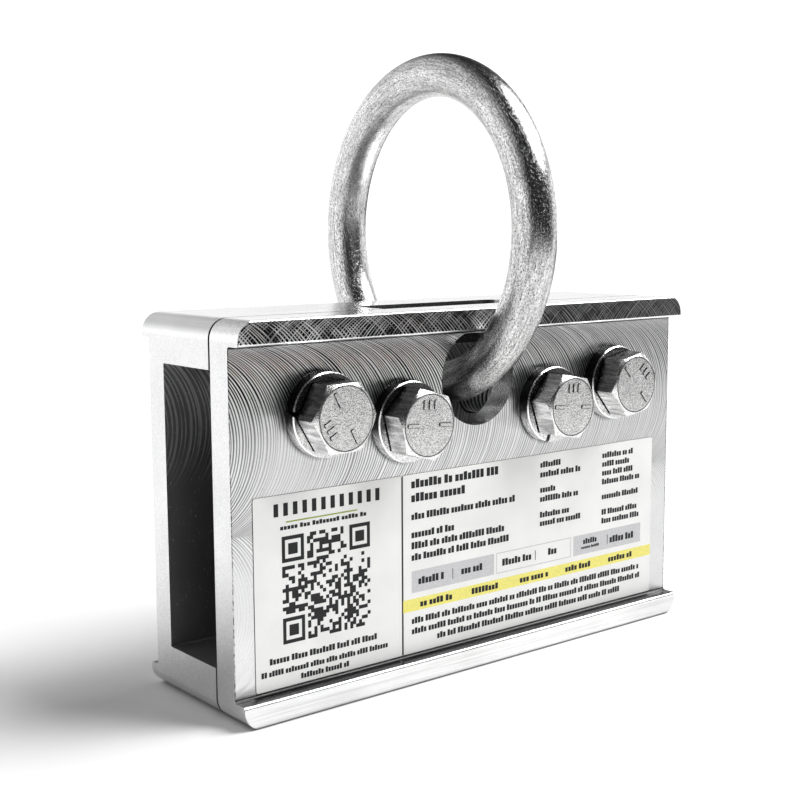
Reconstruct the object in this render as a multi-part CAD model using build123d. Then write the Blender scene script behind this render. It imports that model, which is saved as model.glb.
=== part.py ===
from build123d import *
import math
import os

# Roof anchor for standing seam roofs: two steel jaws pulled together by four hex bolts,
# with a loose steel ring through both of them. Millimetres. X runs along the jaws, Y across
# them from front to back, Z up. The origin is on the underside, below the ring's centre.
# A "depth" is a distance behind the parting plane, where the two jaws meet.

# Outline that both jaws share
LENGTH = 178.0
HEIGHT = 111.2
CORNER_R = 5.8
PARTING_Y = -12.4

# Sections of the jaws, as depths and heights
LIP_HEIGHT = 7.0
FRONT_LIP_DEPTH = -14.5
FRONT_WEB_DEPTH = -9.3
TOP_FLANGE_HEIGHT = 13.9
BOTTOM_FLANGE_HEIGHT = 14.4
CAVITY_DEPTH = 25.1
BACK_WEB_DEPTH = 33.3
BACK_LIP_DEPTH = 37.2
EDGE_R = 0.8
PARTING_CHAMFER = 0.4
ROOT_R = 1.0
CAVITY_R = 0.4

# Ring, its holes in both webs, and the notch in the back jaw's top flange
RING_R = 47.7
RING_WIRE_R = 6.6
RING_CENTRE_Z = 133.8
RING_TWIST = 2.6
WELD_R = 0.5
WELD_SPACING = 1.8
RING_HOLE_R = 14.7
RING_HOLE_Z = 89.5
NOTCH_LENGTH = 58.0
NOTCH_DEPTH = 16.0
NOTCH_CORNER_R = 5.0

# Half-inch bolts, thirteen threads to the inch
BOLT_R = 6.35
BOLT_LENGTH = 50.8
THREAD_LENGTH = 31.75
THREAD_PITCH = 25.4 / 13
THREAD_HEIGHT = 1.1
CREST_SHARE = 0.12
ROOT_SHARE = 0.12
HEAD_ACROSS_FLATS = 19.05
HEAD_HEIGHT = 7.94
HEAD_TOP_R = 9.2
HEAD_CHAMFER_ANGLE = 30.0
WASHER_FACE_R = 9.3
WASHER_FACE_HEIGHT = 0.4
DASH_LENGTH = 4.2
DASH_WIDTH = 0.9
DASH_R = 5.9
MARK_HEIGHT = 0.3
MARK_BARS = 3
MARK_BAR_LENGTH = 2.6
MARK_BAR_PITCH = 2.0
CLEARANCE_HOLE_R = 6.95
TAPPED_HOLE_R = BOLT_R + 0.05
HOLE_CHAMFER = 0.8

# Split lock washers
WASHER_R = 12.1
WASHER_BORE_R = 6.6
WASHER_HEIGHT = 4.0
WASHER_CHAMFER = 0.35
SPLIT_WIDTH = 1.3
SPLIT_SLANT = -22.0

# Where the bolts are, how far each head is turned, and where each washer is split, in degrees
BOLT_SPACING = 29.5
OUTER_BOLT_Z = 83.7
INNER_BOLT_Z = 78.9
BOLTS = {
    "outer_left": {"step": -2, "z": OUTER_BOLT_Z, "turn": 1.0, "mark": 118.0, "side": 1, "split": 170.0},
    "inner_left": {"step": -1, "z": INNER_BOLT_Z, "turn": 44.0, "mark": 177.0, "side": -1, "split": 35.0},
    "inner_right": {"step": 1, "z": INNER_BOLT_Z, "turn": 49.5, "mark": 176.0, "side": -1, "split": 250.0},
    "outer_right": {"step": 2, "z": OUTER_BOLT_Z, "turn": 10.5, "mark": 132.0, "side": -1, "split": 300.0},
}

# Labels on the front web
LABEL_THICKNESS = 0.2
LABEL_BOTTOM = LIP_HEIGHT + ROOT_R
LABEL_TOP = 62.6
LABEL_CORNER_R = 0.8
LABELS = {"label_left": (-82.2, -30.4), "label_right": (-30.2, 81.3)}

HEAD_ACROSS_CORNERS = HEAD_ACROSS_FLATS / math.cos(math.radians(30))
TOP_LIP_Z = HEIGHT - LIP_HEIGHT
CAVITY_TOP_Z = HEIGHT - TOP_FLANGE_HEIGHT


def depth_y(depth):
    """Y of a depth behind the parting plane."""
    return PARTING_Y + depth


def outline_block(near, far):
    """Block with the jaws' rounded outline, between two depths, edge broken at the parting plane."""
    block = Pos(0, depth_y((near + far) / 2), HEIGHT / 2) * Box(LENGTH, far - near, HEIGHT)
    block = fillet(block.edges().filter_by(Axis.Y), CORNER_R)
    across = block.faces().sort_by(Axis.Y)
    parting_face = across[0] if near == 0 else across[-1]
    return chamfer(parting_face.edges(), PARTING_CHAMFER)


def rounded_section(points, radii):
    """Closed section from (depth, height) points, with each corner rounded to its own radius."""
    profile = Polyline([(depth_y(depth), height) for depth, height in points], close=True)
    face = make_face(profile)
    for point, radius in zip(points, radii):
        if radius:
            corner = face.vertices().sort_by_distance((depth_y(point[0]), point[1], 0))[0]
            face = fillet(corner, radius)
    return face


def extruded_jaw(points, radii, near, far):
    """Section run along X for the jaw's whole length, trimmed to the rounded outline."""
    section = Plane.YZ * rounded_section(points, radii)
    bar = extrude(section, LENGTH / 2, both=True)
    return bar & outline_block(near, far)


def cross_hole(x, z, radius, near, far):
    """Cylinder along Y that cuts a hole between two depths."""
    length = far - near
    return Pos(x, depth_y((near + far) / 2), z) * Rot(90, 0, 0) * Cylinder(radius, length)


def hole_chamfer(x, z, radius, depth, direction):
    """Cone that breaks a hole's edge at a face; direction is +1 where the hole runs to +Y."""
    cone = Cone(radius + HOLE_CHAMFER, radius, HOLE_CHAMFER)
    centre_y = depth_y(depth + direction * HOLE_CHAMFER / 2)
    return Pos(x, centre_y, z) * Rot(-90 * direction, 0, 0) * cone


def bolt_x(bolt):
    return bolt["step"] * BOLT_SPACING


def make_front_jaw():
    """Upright plate with a lip along its top and its bottom, both turned to the front."""
    points = [
        (0, 0), (FRONT_LIP_DEPTH, 0), (FRONT_LIP_DEPTH, LIP_HEIGHT), (FRONT_WEB_DEPTH, LIP_HEIGHT),
        (FRONT_WEB_DEPTH, TOP_LIP_Z), (FRONT_LIP_DEPTH, TOP_LIP_Z), (FRONT_LIP_DEPTH, HEIGHT), (0, HEIGHT),
    ]
    radii = [0, EDGE_R, EDGE_R, ROOT_R, ROOT_R, EDGE_R, EDGE_R, 0]
    jaw = extruded_jaw(points, radii, FRONT_LIP_DEPTH, 0)
    jaw -= cross_hole(0, RING_HOLE_Z, RING_HOLE_R, FRONT_WEB_DEPTH, 0)
    jaw -= hole_chamfer(0, RING_HOLE_Z, RING_HOLE_R, 0, -1)
    for bolt in BOLTS.values():
        jaw -= cross_hole(bolt_x(bolt), bolt["z"], CLEARANCE_HOLE_R, FRONT_WEB_DEPTH, 0)
    return jaw


def make_notch():
    """Cutter for the notch in the top flange's front edge, which opens the cavity upwards."""
    near = -NOTCH_CORNER_R
    width = NOTCH_DEPTH - near
    centre_z = HEIGHT - TOP_FLANGE_HEIGHT / 2
    notch = Pos(0, depth_y(near + width / 2), centre_z) * Box(NOTCH_LENGTH, width, TOP_FLANGE_HEIGHT)
    return fillet(notch.edges().filter_by(Axis.Z), NOTCH_CORNER_R)


def make_back_jaw():
    """Channel open to the front, with thick flanges and a small lip behind each of them."""
    points = [
        (0, 0), (BACK_LIP_DEPTH, 0), (BACK_LIP_DEPTH, LIP_HEIGHT), (BACK_WEB_DEPTH, LIP_HEIGHT),
        (BACK_WEB_DEPTH, TOP_LIP_Z), (BACK_LIP_DEPTH, TOP_LIP_Z), (BACK_LIP_DEPTH, HEIGHT), (0, HEIGHT),
        (0, CAVITY_TOP_Z), (CAVITY_DEPTH, CAVITY_TOP_Z),
        (CAVITY_DEPTH, BOTTOM_FLANGE_HEIGHT), (0, BOTTOM_FLANGE_HEIGHT),
    ]
    radii = [
        0, EDGE_R, EDGE_R, ROOT_R, ROOT_R, EDGE_R, EDGE_R, 0,
        PARTING_CHAMFER, CAVITY_R, CAVITY_R, PARTING_CHAMFER,
    ]
    jaw = extruded_jaw(points, radii, 0, BACK_LIP_DEPTH)
    jaw -= make_notch()
    jaw -= cross_hole(0, RING_HOLE_Z, RING_HOLE_R, CAVITY_DEPTH, BACK_WEB_DEPTH)
    jaw -= hole_chamfer(0, RING_HOLE_Z, RING_HOLE_R, CAVITY_DEPTH, 1)
    for bolt in BOLTS.values():
        x = bolt_x(bolt)
        jaw -= cross_hole(x, bolt["z"], TAPPED_HOLE_R, CAVITY_DEPTH, BACK_WEB_DEPTH)
        jaw -= hole_chamfer(x, bolt["z"], TAPPED_HOLE_R, CAVITY_DEPTH, 1)
        jaw -= hole_chamfer(x, bolt["z"], TAPPED_HOLE_R, BACK_WEB_DEPTH, -1)
    return jaw


def make_ring():
    """Round bar bent to a ring and welded shut; the two low weld beads lie inside the cavity."""
    ring = Rot(0, 90, 0) * Torus(RING_R, RING_WIRE_R)
    for side in (-1, 1):
        bead = Pos(0, side * WELD_SPACING / 2, -RING_R) * Rot(90, 0, 0) * Torus(RING_WIRE_R, WELD_R)
        ring += bead
    return Pos(0, 0, RING_CENTRE_Z) * Rot(0, 0, -RING_TWIST) * ring


def bolt_profile():
    """Half section of the bolt's shank and threads, as (radius, distance from under the head)."""
    root_r = BOLT_R - THREAD_HEIGHT
    thread_start = BOLT_LENGTH - THREAD_LENGTH
    flank = (1 - CREST_SHARE - ROOT_SHARE) / 2
    points = [(0, 0), (BOLT_R, 0), (BOLT_R, thread_start)]
    for turn in range(int(THREAD_LENGTH / THREAD_PITCH) - 1):
        start = thread_start + turn * THREAD_PITCH
        points += [
            (root_r, start + flank * THREAD_PITCH),
            (root_r, start + (flank + ROOT_SHARE) * THREAD_PITCH),
            (BOLT_R, start + (1 - CREST_SHARE) * THREAD_PITCH),
            (BOLT_R, start + THREAD_PITCH),
        ]
    return points + [(root_r, BOLT_LENGTH), (0, BOLT_LENGTH)]


def make_head(bolt):
    """Hexagonal head, chamfered, with raised dashes and a row of bars on its top, which faces +Z."""
    hexagon = RegularPolygon(HEAD_ACROSS_CORNERS / 2, 6, rotation=bolt["turn"])
    head = extrude(Pos(0, 0, WASHER_FACE_HEIGHT) * hexagon, HEAD_HEIGHT - WASHER_FACE_HEIGHT)
    wide_r = HEAD_TOP_R + HEAD_HEIGHT / math.tan(math.radians(HEAD_CHAMFER_ANGLE))
    head &= Pos(0, 0, HEAD_HEIGHT / 2) * Cone(wide_r, HEAD_TOP_R, HEAD_HEIGHT)
    head += Pos(0, 0, WASHER_FACE_HEIGHT) * Cylinder(WASHER_FACE_R, 2 * WASHER_FACE_HEIGHT)
    for half_turn in (0, 180):
        dash = Pos(DASH_R, 0, HEAD_HEIGHT) * Box(DASH_LENGTH, DASH_WIDTH, 2 * MARK_HEIGHT)
        head += Rot(0, 0, bolt["mark"] + half_turn) * dash
    for bar in range(MARK_BARS):
        across = (bar - (MARK_BARS - 1) / 2) * MARK_BAR_PITCH
        raised = Pos(DASH_R, across, HEAD_HEIGHT) * Box(MARK_BAR_LENGTH, DASH_WIDTH, 2 * MARK_HEIGHT)
        head += Rot(0, 0, bolt["mark"] + bolt["side"] * 90) * raised
    return head


def make_bolt(bolt):
    """Hex bolt with its head at the front; thread crests are rings, one pitch apart."""
    shank = revolve(Plane.XZ * make_face(Polyline(bolt_profile(), close=True)), Axis.Z)
    screw = make_head(bolt) + Rot(180, 0, 0) * shank
    under_head = depth_y(FRONT_WEB_DEPTH - WASHER_HEIGHT)
    return Pos(bolt_x(bolt), under_head, bolt["z"]) * Rot(90, 0, 0) * screw


def make_lock_washer(bolt):
    """Split spring washer, pressed flat between the bolt's head and the front web."""
    washer = Cylinder(WASHER_R, WASHER_HEIGHT) - Cylinder(WASHER_BORE_R, WASHER_HEIGHT)
    rims = washer.edges().filter_by(GeomType.CIRCLE).sort_by(SortBy.RADIUS)[-2:]
    washer = chamfer(rims, WASHER_CHAMFER)
    gap = Pos(WASHER_R, 0, 0) * Rot(SPLIT_SLANT, 0, 0) * Box(
        2 * WASHER_BORE_R, SPLIT_WIDTH, 3 * WASHER_HEIGHT
    )
    washer -= Rot(0, 0, bolt["split"]) * gap
    centre_y = depth_y(FRONT_WEB_DEPTH - WASHER_HEIGHT / 2)
    return Pos(bolt_x(bolt), centre_y, bolt["z"]) * Rot(90, 0, 0) * washer


def make_label(left, right):
    """Thin rectangular label stuck on the front web, above the bottom lip."""
    centre_y = depth_y(FRONT_WEB_DEPTH) - LABEL_THICKNESS / 2
    centre_z = (LABEL_BOTTOM + LABEL_TOP) / 2
    sheet = Box(right - left, LABEL_THICKNESS, LABEL_TOP - LABEL_BOTTOM)
    sheet = fillet(sheet.edges().filter_by(Axis.Y), LABEL_CORNER_R)
    return Pos((left + right) / 2, centre_y, centre_z) * sheet


def make_parts():
    parts = {"front_jaw": make_front_jaw(), "back_jaw": make_back_jaw(), "ring": make_ring()}
    for name, bolt in BOLTS.items():
        parts["bolt_" + name] = make_bolt(bolt)
        parts["lock_washer_" + name] = make_lock_washer(bolt)
    for name, (left, right) in LABELS.items():
        parts[name] = make_label(left, right)
    return parts


os.makedirs("parts", exist_ok=True)
for node, solid in make_parts().items():
    solid.label = node
    export_step(solid, "parts/" + node + ".step")
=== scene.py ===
"""Roof anchor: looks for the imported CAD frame. The row frame has its origin on the underside,
+X along the jaws, +Y from the front jaw to the back jaw, +Z up. Left is -X and right is +X. Objects
are in metres. Positions in materials and on the labels are in millimetres."""

import math
import random

import bmesh
import bpy
from mathutils import Euler, Matrix, Vector


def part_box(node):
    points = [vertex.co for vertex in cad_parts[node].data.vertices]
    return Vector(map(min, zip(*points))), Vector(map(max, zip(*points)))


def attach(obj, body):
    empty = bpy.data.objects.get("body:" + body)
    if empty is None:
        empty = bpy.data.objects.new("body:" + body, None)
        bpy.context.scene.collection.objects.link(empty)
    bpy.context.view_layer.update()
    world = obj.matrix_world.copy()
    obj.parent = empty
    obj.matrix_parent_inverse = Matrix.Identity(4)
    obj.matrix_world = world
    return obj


MM = 0.001
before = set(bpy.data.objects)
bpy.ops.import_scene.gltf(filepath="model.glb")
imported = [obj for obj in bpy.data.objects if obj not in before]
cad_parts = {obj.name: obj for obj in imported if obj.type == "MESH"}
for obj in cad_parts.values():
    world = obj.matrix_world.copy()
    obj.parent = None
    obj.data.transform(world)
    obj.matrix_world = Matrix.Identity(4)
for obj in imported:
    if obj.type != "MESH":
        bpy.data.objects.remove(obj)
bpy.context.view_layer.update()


def box_mm(node):
    """Lowest and highest corner of a node's box."""
    low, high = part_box(node)
    return low / MM, high / MM


# Places that everything else is worked out from, in millimetres
JAW_LOW, JAW_HIGH = box_mm("front_jaw")
RING_LOW, RING_HIGH = box_mm("ring")
LABEL_LOW, LABEL_HIGH = box_mm("label_left")
LABEL_RIGHT_LOW, LABEL_RIGHT_HIGH = box_mm("label_right")
HALF_LENGTH = (JAW_HIGH.x - JAW_LOW.x) / 2
HEIGHT = JAW_HIGH.z
MIDDLE_Z = HEIGHT / 2
PARTING_Y = JAW_HIGH.y
WEB_Y = LABEL_HIGH.y
LABEL_Y = LABEL_LOW.y
LABEL_GAP_X = (LABEL_HIGH.x + LABEL_RIGHT_LOW.x) / 2
LIP_HEIGHT = 7.0
CAVITY_BACK_Y = PARTING_Y + 25.1
BACK_WEB_Y = PARTING_Y + 33.3
CAVITY_BOTTOM = 14.4
CAVITY_TOP = HEIGHT - 13.9
RING_CENTRE = (RING_LOW + RING_HIGH) / 2
RING_WIRE_R = 6.6
RING_R = (RING_HIGH.z - RING_LOW.z) / 2 - RING_WIRE_R
HEAD_CIRCLE_R = 9.05
THREAD_ROOT_R = 5.7
THREAD_CREST_R = 6.25
BOLTS = ["outer_left", "inner_left", "inner_right", "outer_right"]


class Graph:
    """Shader nodes of one material or world. Every method adds nodes and returns an output socket."""

    def __init__(self, owner):
        self.owner = owner
        owner.use_nodes = True
        self.tree = owner.node_tree

    def node(self, kind, **settings):
        node = self.tree.nodes.new("ShaderNode" + kind)
        for key, value in settings.items():
            setattr(node, key, value)
        return node

    def feed(self, socket, value):
        if isinstance(value, bpy.types.NodeSocket):
            self.tree.links.new(value, socket)
        else:
            socket.default_value = value

    def math(self, operation, *values):
        node = self.node("Math", operation=operation)
        for socket, value in zip(node.inputs, values):
            self.feed(socket, value)
        return node.outputs[0]

    def times(self, a, b):
        """Product of two numbers. For two masks, it is the part they share."""
        return self.math("MULTIPLY", a, b)

    def minus(self, a, b):
        return self.math("SUBTRACT", a, b)

    def larger(self, a, b):
        return self.math("MAXIMUM", a, b)

    def size(self, value):
        """Value without its sign."""
        return self.math("ABSOLUTE", value)

    def invert(self, mask):
        return self.minus(1.0, mask)

    def spread(self, value, low, high, to_low=0.0, to_high=1.0):
        """Value mapped from low..high to to_low..to_high, and held at those ends."""
        node = self.node("MapRange", clamp=True)
        for socket, number in zip(node.inputs, (value, low, high, to_low, to_high)):
            self.feed(socket, number)
        return node.outputs[0]

    def above(self, value, limit, blur=0.02):
        """1 where value is over limit, 0 where it is under."""
        return self.spread(value, limit - blur, limit + blur)

    def under(self, value, limit, blur=0.02):
        """1 where value is under limit, 0 where it is over."""
        return self.spread(value, limit - blur, limit + blur, 1.0, 0.0)

    def mix(self, factor, a, b):
        """Number a where factor is 0, b where it is 1."""
        node = self.node("Mix", data_type="FLOAT")
        for socket, value in zip(node.inputs[:1] + node.inputs[2:4], (factor, a, b)):
            self.feed(socket, value)
        return node.outputs[0]

    def vector(self, x, y, z):
        node = self.node("CombineXYZ")
        for socket, value in zip(node.inputs, (x, y, z)):
            self.feed(socket, value)
        return node.outputs[0]

    def split(self, vector):
        node = self.node("SeparateXYZ")
        self.feed(node.inputs[0], vector)
        return node.outputs

    def grey(self, value, tint=(1.0, 1.0, 1.0)):
        """Colour of that brightness."""
        return self.vector(*(self.times(value, share) for share in tint))

    def noise(self, vector, scale=1.0, detail=2.0, roughness=0.5):
        node = self.node("TexNoise")
        self.feed(node.inputs["Vector"], vector)
        self.feed(node.inputs["Scale"], scale)
        self.feed(node.inputs["Detail"], detail)
        self.feed(node.inputs["Roughness"], roughness)
        return node.outputs[0]

    def place(self):
        """Object coordinates in millimetres, as x, y, z sockets."""
        coordinates = self.node("TexCoord").outputs["Object"]
        scaled = self.node("VectorMath", operation="SCALE")
        self.feed(scaled.inputs[0], coordinates)
        self.feed(scaled.inputs["Scale"], 1 / MM)
        return self.split(scaled.outputs[0])

    def facing(self):
        """The surface's normal in object coordinates, as x, y, z sockets."""
        return self.split(self.node("TexCoord").outputs["Normal"])

    def occlusion_shade(self, reach, closed, clear, darkest=0.02):
        """Painted shade from ambient occlusion: 1 on open surfaces, falling to darkest where others close
        in within reach millimetres.
        """
        node = self.node("AmbientOcclusion", samples=8)
        self.feed(node.inputs["Distance"], reach * MM)
        return self.spread(node.outputs["AO"], closed, clear, darkest, 1.0)

    def bump(self, height, distance, strength):
        node = self.node("Bump")
        self.feed(node.inputs["Height"], height)
        self.feed(node.inputs["Distance"], distance)
        self.feed(node.inputs["Strength"], strength)
        return node.outputs[0]

    def surface(self, colour, metallic, roughness, normal=None):
        """Closes the material with a Principled shader, and returns the material."""
        shader = self.node("BsdfPrincipled")
        self.feed(shader.inputs["Base Color"], colour)
        self.feed(shader.inputs["Metallic"], metallic)
        self.feed(shader.inputs["Roughness"], roughness)
        if normal is not None:
            self.feed(shader.inputs["Normal"], normal)
        output = self.node("OutputMaterial")
        self.tree.links.new(shader.outputs[0], output.inputs["Surface"])
        return self.owner


def material_graph(name):
    graph = Graph(bpy.data.materials.new(name))
    graph.tree.nodes.clear()
    return graph


# Milling marks, in millimetres. Each pass of the face mill ran along X, its centre at that height
CUTTER_R = 26.0
UPPER_PASS_Z = 78.5
LOWER_PASS_Z = 32.5
LIP_PASS_Z = 88.0
PASS_BORDER_Z = 52.6
WEB_PITCH = 0.95
LIP_PITCH = 1.3
INNER_PITCH = 1.5


def grooves(graph, along, across, pitch, boldness):
    """Cutter marks, 0 at their darkest: nearly even lines, some bolder, that wander and fade a little."""
    wander = graph.noise(graph.vector(graph.times(along, 0.3), 3.0, 0.0))
    turns = graph.math("MULTIPLY_ADD", wander, 2.5, graph.math("DIVIDE", along, pitch))
    wave = graph.math("SINE", graph.times(turns, 2 * math.pi))
    bold = graph.noise(graph.vector(graph.math("DIVIDE", along, pitch * 0.7), 0.0, 7.0), detail=1.0)
    fade = graph.noise(graph.vector(graph.times(along, 0.4), graph.times(across, 0.10), 1.0))
    strength = graph.spread(fade, 0.30, 0.60, 0.35, 1.0)
    lines = graph.math("MULTIPLY_ADD", graph.times(wave, strength), 0.5, 0.5)
    return graph.math("MULTIPLY_ADD", graph.minus(bold, 0.5), boldness, lines)


def milled_arcs(graph, x, z, centre_z, side, pitch=WEB_PITCH, boldness=1.1):
    """Lines left by one edge of a face mill that was fed along X with its centre at that height."""
    height = graph.minus(z, centre_z)
    square = graph.minus(CUTTER_R * CUTTER_R, graph.times(height, height))
    reach = graph.math("SQRT", graph.larger(square, 0.0))
    along = graph.math("MULTIPLY_ADD", reach, -side, x)
    return grooves(graph, along, z, pitch, boldness)


def web_arcs(graph, x, z):
    """The two passes of the face mill over a jaw's upright face: the upper one laps over the lower one."""
    upper = milled_arcs(graph, x, z, UPPER_PASS_Z, 1)
    lower = milled_arcs(graph, x, z, LOWER_PASS_Z, 1)
    return graph.mix(graph.above(z, PASS_BORDER_Z, 0.3), lower, upper)


def lip_arcs(graph, x, z):
    """Marks of both edges of the cutter, crossing on a lip, each deeper in some patches than in others."""
    swept = []
    for side in (1, -1):
        lines = milled_arcs(graph, x, z, LIP_PASS_Z, side, LIP_PITCH, 0.9)
        patch = graph.noise(graph.vector(x, 9.0 * side, z), 0.17)
        swept.append(graph.times(lines, graph.spread(patch, 0.40, 0.54, 0.74, 1.0)))
    broken = graph.noise(graph.vector(x, 0.0, z), 0.55, 3.0, 0.6)
    return graph.times(graph.larger(*swept), graph.spread(broken, 0.3, 0.5, 0.93, 1.0))


def cavity_faces(graph, x, y, z):
    """1 on the back jaw's faces round the cavity, 0 elsewhere."""
    margin = 0.15
    shallow = graph.under(y, CAVITY_BACK_Y + margin)
    over_floor = graph.above(z, CAVITY_BOTTOM - margin)
    under_roof = graph.under(z, CAVITY_TOP + margin)
    short_of_end = graph.under(graph.size(x), HALF_LENGTH - 0.05)
    return graph.times(graph.times(shallow, over_floor), graph.times(under_roof, short_of_end))


def rounding(graph, a, b):
    """1 where the surface turns between two axes, given the normal's parts along them."""
    return graph.spread(graph.size(graph.times(a, b)), 0.12, 0.3)


class JawFaces:
    """Masks over a jaw, each 1 on one kind of face and 0 elsewhere."""

    def __init__(self, graph, front):
        x, y, z = graph.place()
        nx, ny, nz = graph.facing()
        self.place = (x, y, z)
        outward = -1 if front else 1
        web_outer = (WEB_Y if front else BACK_WEB_Y) * outward
        outer = graph.times(y, outward)
        beyond_web = graph.above(outer, web_outer + 0.3)
        upright = graph.above(graph.times(ny, outward), 0.7, 0.1)
        level = graph.above(nz, 0.7, 0.1)
        high = graph.above(z, MIDDLE_Z)
        self.web = graph.times(upright, graph.invert(beyond_web))
        self.top_lip = graph.times(graph.times(upright, beyond_web), high)
        self.milled = graph.larger(self.web, self.top_lip)
        self.ledge = graph.times(graph.times(level, beyond_web), graph.invert(high))
        self.top = graph.times(level, graph.above(z, HEIGHT - 2.0))
        self.inside = graph.above(ny, 0.7, 0.1) if front else cavity_faces(graph, x, y, z)
        rounded = rounding(graph, ny, nz)
        proud = graph.above(outer, web_outer + 1.1, 0.1)
        by_lip = graph.above(graph.size(graph.minus(z, MIDDLE_Z)), MIDDLE_Z - LIP_HEIGHT - 1.3)
        self.edge_highlight = graph.times(rounded, proud)
        self.root = graph.times(graph.times(rounded, by_lip), graph.invert(proud))
        self.corner = 0.0 if front else rounding(graph, nx, nz)
        self.parting = graph.spread(graph.size(graph.minus(y, PARTING_Y)), 0.3, 0.5, 1.0, 0.0)
        self.end = graph.above(graph.size(x), HALF_LENGTH - 0.35, 0.05)


def web_tone(graph, x, z, web):
    """Brightness of an upright face, with painted light. The marks are painted darkest above the middle
    of the upper pass and by the left end, as dark reflections. They are painted faint, as sheen, over most
    of the lower pass and in a patch beside the outer left bolt, and pale towards the right end."""
    # Painted dark reflection: the lines are darkest in a band above the upper pass and by the left end
    dark_band = graph.spread(z, UPPER_PASS_Z, UPPER_PASS_Z + 12.0)
    by_left_end = graph.times(graph.spread(x, -88.0, -74.0, 0.55, 0.0), graph.spread(z, 70.0, 82.0))
    dark_band = graph.larger(dark_band, by_left_end)
    # Painted sheen: the lines fade over most of the lower pass and in a patch beside the outer left bolt
    sheen_low = graph.spread(z, PASS_BORDER_Z - 12.0, PASS_BORDER_Z + 1.0, 0.88, 0.0)
    patch = graph.times(graph.spread(x, -85.0, -76.0), graph.spread(x, -64.0, -50.0, 1.0, 0.0))
    sheen_patch = graph.times(patch, graph.spread(z, 72.0, 85.0, 0.65, 0.0))
    lines = graph.mix(graph.larger(sheen_low, sheen_patch), graph.spread(web, 0.28, 0.58), 0.8)
    # Painted light: the lines lose contrast towards the right end
    bright = graph.times(graph.mix(dark_band, 0.92, 0.94), graph.spread(x, -20.0, 85.0, 1.0, 0.88))
    open_tone = graph.spread(x, -60.0, 60.0, 0.42, 0.66)
    dark_band_tone = graph.spread(x, -20.0, 70.0, 0.008, 0.22)
    dark = graph.times(bright, graph.mix(dark_band, open_tone, dark_band_tone))
    return graph.mix(lines, dark, bright)


def lip_tone(graph, x, cross):
    """Bright crossed lines on black, with less contrast towards the right end. The black and the falling
    contrast are painted dark reflection.
    """
    dark = graph.spread(x, -20.0, 60.0, 0.02, 0.10)
    bright = graph.spread(x, -50.0, 60.0, 1.0, 0.42)
    return graph.spread(cross, 0.52, 0.88, dark, bright)


def inside_tone(graph, x, z):
    """Dull faces round the cavity, painted darker than the zinc elsewhere as shade and a little lighter
    higher up, with cutter marks high up and short scratches all over.
    """
    arcs = milled_arcs(graph, x, z, UPPER_PASS_Z, 1, INNER_PITCH, 1.2)
    arcs = graph.times(graph.spread(arcs, 0.55, 0.95), graph.spread(z, 60.0, 86.0))
    scatter = graph.noise(graph.vector(graph.times(x, 0.8), 5.0, graph.times(z, 0.25)), 2.2)
    scratches = graph.larger(arcs, graph.times(graph.spread(scatter, 0.66, 0.74), 0.8))
    return graph.math("MULTIPLY_ADD", scratches, 1.1, graph.spread(z, 62.0, 92.0, 0.48, 0.56))


def jaw_material(name, front):
    """Milled and bright zinc plated steel, each face with the finish its cutter left, and with painted
    shade, painted dark reflections and painted highlights on parts of it.
    """
    graph = material_graph(name)
    on = JawFaces(graph, front)
    x, y, z = on.place
    web = web_arcs(graph, x, z)
    cross = lip_arcs(graph, x, z)
    brushed = graph.vector(graph.times(x, 0.03), graph.times(y, 2.4), graph.times(z, 2.4))
    drawn = graph.noise(brushed, 1.0, 4.0, 0.6)
    cloud = graph.noise(graph.vector(x, y, z), 0.045)
    speck = graph.noise(graph.vector(x, y, z), 1.3, 3.0, 0.6)

    tone = graph.mix(on.web, graph.spread(drawn, 0.3, 0.7, 0.70, 0.92), web_tone(graph, x, z, web))
    tone = graph.mix(on.top, tone, graph.spread(drawn, 0.35, 0.65, 0.46, 0.76))
    tone = graph.mix(on.top_lip, tone, lip_tone(graph, x, cross))
    # Painted dark reflection: the ledge on top of the bottom lip is nearly black
    tone = graph.mix(on.ledge, tone, graph.spread(drawn, 0.35, 0.65, 0.015, 0.22))
    tone = graph.mix(on.inside, tone, inside_tone(graph, x, z))
    # Painted highlight along the proud rounded edges of the lips
    tone = graph.mix(on.edge_highlight, tone, 0.97 if front else 0.80)
    tone = graph.mix(on.corner, tone, 0.66)
    # Painted shade in the fillets at the roots of the lips
    tone = graph.mix(on.root, tone, 0.05)
    tone = graph.times(tone, graph.spread(cloud, 0.3, 0.7, 0.90, 1.0))
    tone = graph.times(tone, graph.mix(on.milled, 1.0, graph.spread(speck, 0.25, 0.40, 0.80, 1.0)))
    # Painted shade from occlusion on the faces round the cavity
    tone = graph.times(tone, graph.mix(on.inside, graph.occlusion_shade(2.2, 0.25, 0.85), 1.0))
    ragged_end = graph.times(graph.times(on.end, graph.spread(speck, 0.38, 0.55, 0.9, 0.3)), on.milled)
    tone = graph.mix(graph.larger(on.parting, ragged_end), tone, 0.02)

    height = graph.mix(on.web, graph.times(drawn, 0.4), web)
    height = graph.mix(on.top_lip, height, cross)
    normal = graph.bump(height, 0.00005, 0.6)
    roughness = graph.mix(on.inside, graph.mix(on.milled, 0.24, 0.30), 0.5)
    metallic = graph.mix(on.top, 1.0, 0.68)
    return graph.surface(graph.grey(tone, (1.0, 1.0, 1.005)), metallic, roughness, normal)


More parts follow.
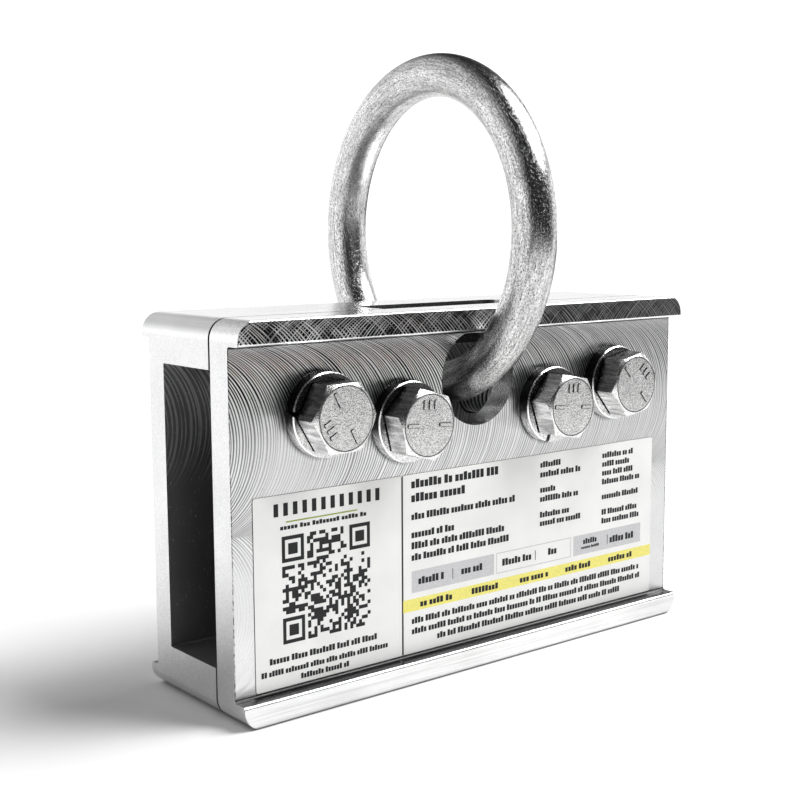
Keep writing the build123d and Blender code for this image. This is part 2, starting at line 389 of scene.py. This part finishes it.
def ring_material():
    """Galvanised round bar: fine grain drawn out along the bar, with small pits."""
    graph = material_graph("galvanised_bar")
    x, y, z = graph.place()
    across = graph.minus(y, RING_CENTRE.y)
    up = graph.minus(z, RING_CENTRE.z)
    angle = graph.math("ARCTAN2", up, across)
    reach = graph.math("SQRT", graph.math("ADD", graph.times(across, across), graph.times(up, up)))
    along = graph.times(angle, RING_R)
    streaks = graph.noise(graph.vector(graph.times(along, 0.10), reach, x), 1.6, 4.0, 0.6)
    grain = graph.noise(graph.vector(graph.times(along, 0.5), reach, x), 3.4, 4.0, 0.7)
    hollows = graph.noise(graph.vector(graph.times(along, 0.6), reach, x), 2.2, 3.0, 0.6)
    pits = graph.spread(hollows, 0.32, 0.42)
    cloud = graph.noise(graph.vector(x, y, z), 0.07, 3.0)
    tone = graph.spread(streaks, 0.36, 0.64, 0.62, 1.0)
    tone = graph.times(tone, graph.spread(grain, 0.40, 0.56, 0.42, 1.0))
    tone = graph.times(tone, graph.spread(pits, 0.0, 1.0, 0.3, 1.0))
    tone = graph.times(tone, graph.spread(cloud, 0.35, 0.65, 0.85, 1.0))
    height = graph.math("MULTIPLY_ADD", grain, 0.8, graph.times(pits, 0.6))
    normal = graph.bump(height, 0.00012, 0.7)
    roughness = graph.spread(grain, 0.3, 0.7, 0.14, 0.24)
    return graph.surface(graph.grey(tone), 1.0, roughness, normal)


def from_axis(graph, node, x, z):
    """How far right of the middle of that node's box, and how far over it."""
    low, high = box_mm(node)
    return graph.minus(x, (low.x + high.x) / 2), graph.minus(z, (low.z + high.z) / 2)


def bolt_material(node):
    """Bright zinc plated forging: stippled flat top with a dark line round it, marks drawn down the
    sides, a painted dark reflection on the upper sides, painted shade in the crevices, and thread roots
    painted dark as shade with bright crests."""
    graph = material_graph("zinc_" + node)
    x, y, z = graph.place()
    _, ny, nz = graph.facing()
    turned = graph.size(ny)
    on_side = graph.spread(turned, 0.35, 0.55, 1.0, 0.0)
    on_chamfer = graph.times(graph.spread(turned, 0.35, 0.55), graph.spread(turned, 0.93, 0.97, 1.0, 0.0))
    shaded_upper_sides = graph.times(on_side, graph.spread(nz, 0.0, 0.3))
    on_shank = graph.above(y, WEB_Y)
    on_tip = graph.above(turned, 0.95)
    right, up = from_axis(graph, node, x, z)
    reach = graph.math("SQRT", graph.math("ADD", graph.times(right, right), graph.times(up, up)))
    peel = graph.noise(graph.vector(x, y, z), 2.3, 4.0, 0.7)
    stain = graph.noise(graph.vector(x, y, z), 0.35, 3.0, 0.6)
    drawn = graph.noise(graph.vector(x, graph.times(y, 0.12), z), 0.9, 3.0, 0.6)

    top_tone = graph.times(graph.spread(peel, 0.36, 0.58, 0.46, 0.95),
                           graph.spread(stain, 0.35, 0.65, 0.85, 1.0))
    from_circle = graph.size(graph.minus(reach, HEAD_CIRCLE_R))
    top_tone = graph.times(top_tone, graph.spread(from_circle, 0.12, 0.34, 0.22, 1.0))
    chamfer_tone = graph.spread(peel, 0.38, 0.56, 0.60, 1.0)
    # Painted dark reflection: the upper hex sides are a little darker
    side_tone = graph.times(graph.spread(drawn, 0.40, 0.62, 0.55, 1.0), graph.mix(shaded_upper_sides, 1.0, 0.92))
    head_tone = graph.mix(on_side, graph.mix(on_chamfer, top_tone, chamfer_tone), side_tone)
    # Painted shade from occlusion round the marks and where the head meets the washer
    head_tone = graph.times(head_tone, graph.occlusion_shade(0.7, 0.55, 0.93))
    # Painted shade and highlight: thread roots nearly black, crests bright
    thread_tone = graph.spread(reach, THREAD_ROOT_R, THREAD_CREST_R, 0.01, 1.0)
    tip_tone = graph.spread(peel, 0.38, 0.56, 0.45, 0.8)
    tone = graph.mix(on_shank, head_tone, graph.mix(on_tip, thread_tone, tip_tone))

    normal = graph.bump(peel, 0.00008, 0.6)
    roughness = graph.mix(on_shank, graph.spread(stain, 0.3, 0.7, 0.18, 0.30), 0.40)
    metallic = graph.mix(on_shank, 1.0, 0.2)
    return graph.surface(graph.grey(tone, (1.0, 1.0, 0.995)), metallic, roughness, normal)


def washer_material(node):
    """Zinc plated spring steel: bright chamfers, with a rim and face painted darker above as a dark
    reflection, and painted shade from occlusion.
    """
    graph = material_graph("zinc_" + node)
    x, y, z = graph.place()
    turned = graph.size(graph.facing()[1])
    on_rim = graph.spread(turned, 0.25, 0.45, 1.0, 0.0)
    on_chamfer = graph.times(graph.spread(turned, 0.25, 0.45), graph.spread(turned, 0.90, 0.97, 1.0, 0.0))
    right, up = from_axis(graph, node, x, z)
    upper = graph.spread(graph.math("MULTIPLY_ADD", right, -0.25, up), -3.0, 2.0)
    brushed = graph.vector(graph.times(x, 0.4), graph.times(y, 2.2), graph.times(z, 0.4))
    drawn = graph.noise(brushed, 1.1, 3.0, 0.6)
    peel = graph.noise(graph.vector(x, y, z), 2.0, 4.0, 0.65)
    # Painted dark reflection: the upper part of the rim and face is darkened
    rim_tone = graph.times(graph.spread(drawn, 0.38, 0.62, 0.4, 1.0), graph.mix(upper, 1.0, 0.07))
    face_tone = graph.times(graph.spread(peel, 0.34, 0.60, 0.55, 0.95), graph.mix(upper, 1.0, 0.16))
    tone = graph.mix(on_rim, face_tone, rim_tone)
    # Painted shade from occlusion where the washer meets the web and the head
    tone = graph.times(tone, graph.occlusion_shade(1.0, 0.30, 0.80))
    tone = graph.mix(on_chamfer, tone, 0.98)
    normal = graph.bump(peel, 0.00006, 0.5)
    roughness = graph.spread(peel, 0.3, 0.7, 0.18, 0.3)
    return graph.surface(graph.grey(tone), 1.0, roughness, normal)


def label_material():
    """Off-white vinyl, slightly uneven where it is stuck down, with its side faces and the edges by the
    gap painted dark as a shadow line.
    """
    graph = material_graph("label_vinyl")
    x, y, z = graph.place()
    turned = graph.size(graph.facing()[1])
    wave = graph.noise(graph.vector(x, y, z), 0.06)
    fleck = graph.noise(graph.vector(x, y, z), 2.5)
    tone = graph.times(graph.spread(wave, 0.3, 0.7, 0.70, 0.76), graph.spread(fleck, 0.3, 0.7, 0.975, 1.0))
    # Painted shade: the label's side faces are nearly black
    tone = graph.mix(graph.spread(turned, 0.4, 0.6), 0.04, tone)
    # Painted shade: a dark line along the label edges at the gap between the labels
    from_gap = graph.size(graph.minus(x, LABEL_GAP_X))
    tone = graph.mix(graph.spread(from_gap, 0.25, 0.4), 0.06, tone)
    normal = graph.bump(graph.noise(graph.vector(x, y, z), 0.25), 0.00006, 0.4)
    return graph.surface(graph.grey(tone, (1.0, 1.0, 0.985)), 0.0, 0.42, normal)


def ink_material(name, colour):
    """Printed ink, a little uneven in its cover."""
    graph = material_graph(name)
    x, y, z = graph.place()
    cover = graph.spread(graph.noise(graph.vector(x, y, z), 3.0, 3.0), 0.3, 0.7, 0.85, 1.1)
    return graph.surface(graph.grey(cover, colour), 0.0, 0.6)


def assign(node, material):
    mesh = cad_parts[node].data
    mesh.materials.clear()
    mesh.materials.append(material)


def new_object(name, builder, material):
    """Object from a bmesh, which is used up."""
    mesh = bpy.data.meshes.new(name)
    builder.to_mesh(mesh)
    builder.free()
    mesh.materials.append(material)
    thing = bpy.data.objects.new(name, mesh)
    bpy.context.scene.collection.objects.link(thing)
    return thing


# Label print, in millimetres on the front web: X from the middle, Z from the underside.
# The fields of colour are thinner than the dark print that lies over them
INK_THICKNESS = 0.03
FIELD_THICKNESS = 0.015

# A line of words is left end, right end, base, height. Pace is a block's step, in heights
PACE = 0.62
BOLD_PACE = 0.66
BAND_PACE = 0.75
SMALL_PACE = 0.95
SMALL_LINE = (-73.4, -43.6, 52.7, 1.25)
LEFT_LINES = [(-77.6, -39.2, 15.2, 1.8), (-80.4, -34.7, 11.9, 1.6), (-67.2, -50.3, 9.2, 1.6)]
BOLD_LINES = [(-26.8, 9.0, 58.4, 2.6), (-26.8, -4.6, 54.2, 2.6)]
TEXT_LINES = [
    (-26.8, 15.8, 48.8, 2.1), (-26.8, -9.1, 43.3, 2.1), (-26.8, 11.5, 39.9, 2.1), (-26.8, 14.1, 36.4, 2.1),
    (26.9, 37.3, 58.2, 1.9), (26.9, 46.8, 55.0, 2.0), (26.9, 34.7, 50.0, 1.9), (26.9, 45.0, 47.0, 1.9),
    (26.9, 41.3, 41.8, 1.9), (26.9, 46.6, 39.0, 1.9),
    (56.1, 72.0, 58.0, 1.9), (56.1, 71.1, 55.0, 1.9), (56.1, 71.7, 52.0, 1.9), (56.1, 75.3, 49.0, 1.9),
    (56.1, 74.5, 43.9, 1.9), (56.1, 74.1, 38.6, 1.9), (56.1, 75.2, 35.6, 1.9),
    (-26.8, 76.2, 17.0, 1.9), (-26.8, 76.9, 13.8, 1.9), (-16.8, 66.6, 10.6, 1.9),
    (-24.2, -13.1, 28.8, 2.2), (-7.0, 2.6, 28.9, 2.2), (10.3, 23.1, 28.7, 2.2), (30.8, 35.0, 28.9, 2.2),
    (47.3, 54.1, 29.9, 1.8), (46.4, 55.1, 28.3, 0.9), (60.3, 72.8, 28.4, 2.3),
]

# Two grey fields and a framed one between them, with dividers
FIELD_BOTTOM = 26.5
FIELD_TOP = 33.2
GREY_FIELDS = [(-26.8, 6.8), (42.6, 75.9)]
FRAMED_FIELD = (7.7, 41.5)
FRAME_WIDTH = 0.3
DIVIDERS = (-10.6, 24.8, 59.0)
DIVIDER_WIDTH = 0.25
DIVIDER_BOTTOM = 28.2
DIVIDER_TOP = 31.4

# The yellow band, with words along it
BAND_BOTTOM = 20.9
BAND_TOP = 24.7
BAND_MARGIN = 0.1
BAND_LEFT = -23.5
BAND_WORDS = 5
BAND_PITCH = 20.8
BAND_WORD_LENGTH = 12.9
BAND_WORD_BASE = 21.8
BAND_WORD_HEIGHT = 1.9

# Emblem bars, the green rule under them, and the square field of cells
EMBLEM_LEFT = -75.5
EMBLEM_BARS = 12
EMBLEM_PITCH = 3.2
EMBLEM_BAR_WIDTH = 1.5
EMBLEM_BOTTOM = 56.6
EMBLEM_TOP = 60.2
RULE = (-71.5, -46.9, 54.6, 55.0)
CODE_LEFT = -73.0
CODE_BOTTOM = 20.2
CODE_SIZE = 30.6
CODE_CELLS = 29
CODE_CORNER = 7
CODE_EMPTY_SHARE = 0.48


def add_patch(builder, left, right, bottom, top, thickness=INK_THICKNESS):
    """One flat patch of ink, a thin closed slab on the label."""
    front = LABEL_Y - thickness
    corners = [(left, bottom), (right, bottom), (right, top), (left, top)]
    near = [builder.verts.new((x * MM, front * MM, z * MM)) for x, z in corners]
    far = [builder.verts.new((x * MM, LABEL_Y * MM, z * MM)) for x, z in corners]
    builder.faces.new(near)
    builder.faces.new(far[::-1])
    for i in range(4):
        j = (i + 1) % 4
        builder.faces.new((near[j], near[i], far[i], far[j]))


def add_frame(builder, left, right, bottom, top, width, thickness=INK_THICKNESS):
    """Four patches round the edge of a box."""
    add_patch(builder, left, right, bottom, bottom + width, thickness)
    add_patch(builder, left, right, top - width, top, thickness)
    add_patch(builder, left, left + width, bottom + width, top - width, thickness)
    add_patch(builder, right - width, right, bottom + width, top - width, thickness)


def add_words(builder, chance, left, right, base, height, pace=PACE):
    """A line of print that says nothing: plain blocks in groups as long as words."""
    step = height * pace
    x = left
    while x + step * 0.7 < right:
        for _ in range(chance.randint(2, 8)):
            if x + step * 0.7 > right:
                break
            tall = height * (1.0 if chance.random() < 0.4 else 0.78)
            add_patch(builder, x, x + step * 0.8, base, base + tall)
            x += step
        x += step * 0.55


def add_code(builder, chance):
    """Square field of random cells that encodes nothing, with a plain framed block in three corners."""
    cell = CODE_SIZE / CODE_CELLS
    near = CODE_CORNER + 1
    far = CODE_CELLS - near
    for row in range(CODE_CELLS):
        for column in range(CODE_CELLS):
            in_low = row < near and column < near
            in_top = row >= far and (column < near or column >= far)
            if in_low or in_top or chance.random() < CODE_EMPTY_SHARE:
                continue
            x = CODE_LEFT + column * cell
            z = CODE_BOTTOM + row * cell
            add_patch(builder, x, x + cell, z, z + cell)
    block = CODE_CORNER * cell
    right = CODE_LEFT + CODE_SIZE - block
    top = CODE_BOTTOM + CODE_SIZE - block
    for x, z in ((CODE_LEFT, CODE_BOTTOM), (CODE_LEFT, top), (right, top)):
        add_frame(builder, x, x + block, z, z + block, cell)
        add_patch(builder, x + 2 * cell, x + 5 * cell, z + 2 * cell, z + 5 * cell)


def add_emblem(builder):
    """Plain emblem: a row of upright bars."""
    for i in range(EMBLEM_BARS):
        left = EMBLEM_LEFT + i * EMBLEM_PITCH
        add_patch(builder, left, left + EMBLEM_BAR_WIDTH, EMBLEM_BOTTOM, EMBLEM_TOP)


def dark_print():
    """Words, dividers, code and emblem."""
    chance = random.Random(11)
    builder = bmesh.new()
    add_words(builder, chance, *SMALL_LINE, SMALL_PACE)
    for line in LEFT_LINES:
        add_words(builder, chance, *line)
    for line in BOLD_LINES:
        add_words(builder, chance, *line, BOLD_PACE)
    for line in TEXT_LINES:
        add_words(builder, chance, *line)
    for i in range(BAND_WORDS):
        left = BAND_LEFT + i * BAND_PITCH
        right = left + BAND_WORD_LENGTH
        add_words(builder, chance, left, right, BAND_WORD_BASE, BAND_WORD_HEIGHT, BAND_PACE)
    for left in DIVIDERS:
        add_patch(builder, left, left + DIVIDER_WIDTH, DIVIDER_BOTTOM, DIVIDER_TOP)
    add_code(builder, chance)
    add_emblem(builder)
    return builder


def yellow_print():
    builder = bmesh.new()
    left = LABEL_RIGHT_LOW.x + BAND_MARGIN
    right = LABEL_RIGHT_HIGH.x - BAND_MARGIN
    add_patch(builder, left, right, BAND_BOTTOM, BAND_TOP, FIELD_THICKNESS)
    return builder


def green_print():
    builder = bmesh.new()
    add_patch(builder, *RULE)
    return builder


def grey_print():
    builder = bmesh.new()
    for left, right in GREY_FIELDS:
        add_patch(builder, left, right, FIELD_BOTTOM, FIELD_TOP, FIELD_THICKNESS)
    add_frame(builder, *FRAMED_FIELD, FIELD_BOTTOM, FIELD_TOP, FRAME_WIDTH, FIELD_THICKNESS)
    return builder


def make_label_print():
    """Everything printed on the two labels, in one piece for each ink."""
    inks = [
        ("dark", dark_print, (0.015, 0.015, 0.017)),
        ("yellow", yellow_print, (0.75, 0.69, 0.20)),
        ("green", green_print, (0.28, 0.36, 0.08)),
        ("grey", grey_print, (0.52, 0.52, 0.53)),
    ]
    for ink, build, colour in inks:
        piece = new_object("label_print_" + ink, build(), ink_material("ink_" + ink, colour))
        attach(piece, "front_jaw")


# The studio, in metres and degrees. Headings are from +Y towards +X
CAMERA_PLACE = Vector((-0.2705, -0.3185, 0.1351))
CAMERA_HEADING = 38.93
CAMERA_DIP = 7.46
CAMERA_ROLL = -0.3
CAMERA_LENS = 59.4
FLOOR_HALF = 6.0
WORLD_STRENGTH = 1.16
SOFTBOX_TOWARDS = Vector((0.62, -0.32, 0.82))
SOFTBOX_SPREAD = 42
SOFTBOX_POWER = 3.4
CARD_STEPS = 24


def make_camera():
    data = bpy.data.cameras.new("camera")
    data.lens = CAMERA_LENS
    data.clip_start = 0.01
    camera = bpy.data.objects.new("camera", data)
    bpy.context.scene.collection.objects.link(camera)
    camera.location = CAMERA_PLACE
    turn = Euler((math.radians(90 - CAMERA_DIP), 0, math.radians(-CAMERA_HEADING)), "XYZ").to_matrix()
    roll = Matrix.Rotation(math.radians(CAMERA_ROLL), 3, "Z")
    camera.rotation_euler = (turn @ roll).to_euler()
    bpy.context.scene.camera = camera


def make_floor():
    """Plain pale paper."""
    builder = bmesh.new()
    bmesh.ops.create_grid(builder, x_segments=2, y_segments=2, size=FLOOR_HALF)
    graph = material_graph("floor")
    x, y, z = graph.place()
    paper = graph.spread(graph.noise(graph.vector(x, y, z), 0.02), 0.3, 0.7, 0.90, 0.92)
    floor = new_object("floor", builder, graph.surface(graph.grey(paper), 0.0, 0.8))


def make_world():
    """White walls up to a low height, dark above, and a lighter corner at the back left."""
    world = bpy.data.worlds.new("studio")
    bpy.context.scene.world = world
    graph = Graph(world)
    x, y, z = graph.split(graph.node("TexCoord").outputs["Generated"])
    back_left = graph.math("ADD", graph.times(x, -0.6), graph.times(y, 0.8))
    upper = graph.spread(back_left, 0.3, 0.65, 0.03, 0.62)
    level = graph.mix(graph.spread(z, 0.22, 0.40), 1.0, upper)
    background = graph.tree.nodes["Background"]
    graph.feed(background.inputs["Color"], graph.grey(level))
    graph.feed(background.inputs["Strength"], WORLD_STRENGTH)


def make_softbox():
    """Soft even light, which also puts the white streak on the ring."""
    data = bpy.data.lights.new("softbox", "SUN")
    data.energy = SOFTBOX_POWER
    data.angle = math.radians(SOFTBOX_SPREAD)
    light = bpy.data.objects.new("softbox", data)
    bpy.context.scene.collection.objects.link(light)
    light.rotation_euler = SOFTBOX_TOWARDS.to_track_quat("Z", "Y").to_euler()


def make_dark_card(name, start, end, radius, top):
    """Dark curved screen standing round the table between two angles from +X. Only reflections see it."""
    builder = bmesh.new()
    rows = []
    for i in range(CARD_STEPS + 1):
        angle = math.radians(start + (end - start) * i / CARD_STEPS)
        x = radius * math.cos(angle)
        y = radius * math.sin(angle)
        rows.append([builder.verts.new((x, y, 0.0)), builder.verts.new((x, y, top))])
    for a, b in zip(rows, rows[1:]):
        builder.faces.new((a[0], b[0], b[1], a[1]))
    card = new_object(name, builder, material_graph(name).surface((0.02, 0.02, 0.02, 1.0), 0.0, 0.9))
    card.visible_camera = False
    card.visible_diffuse = False
    card.visible_shadow = False


make_camera()
make_world()
make_floor()
make_dark_card("dark_card_front", -157, -31, 0.8, 0.6)
make_dark_card("dark_card_right", 2, 44, 0.9, 0.12)
make_softbox()

assign("front_jaw", jaw_material("milled_front_jaw", True))
assign("back_jaw", jaw_material("milled_back_jaw", False))
assign("ring", ring_material())
for bolt in BOLTS:
    assign("bolt_" + bolt, bolt_material("bolt_" + bolt))
    assign("lock_washer_" + bolt, washer_material("lock_washer_" + bolt))
vinyl = label_material()
assign("label_left", vinyl)
assign("label_right", vinyl)
make_label_print()

bpy.context.scene.view_settings.view_transform = "Standard"
bpy.context.scene.view_settings.look = "Medium High Contrast"
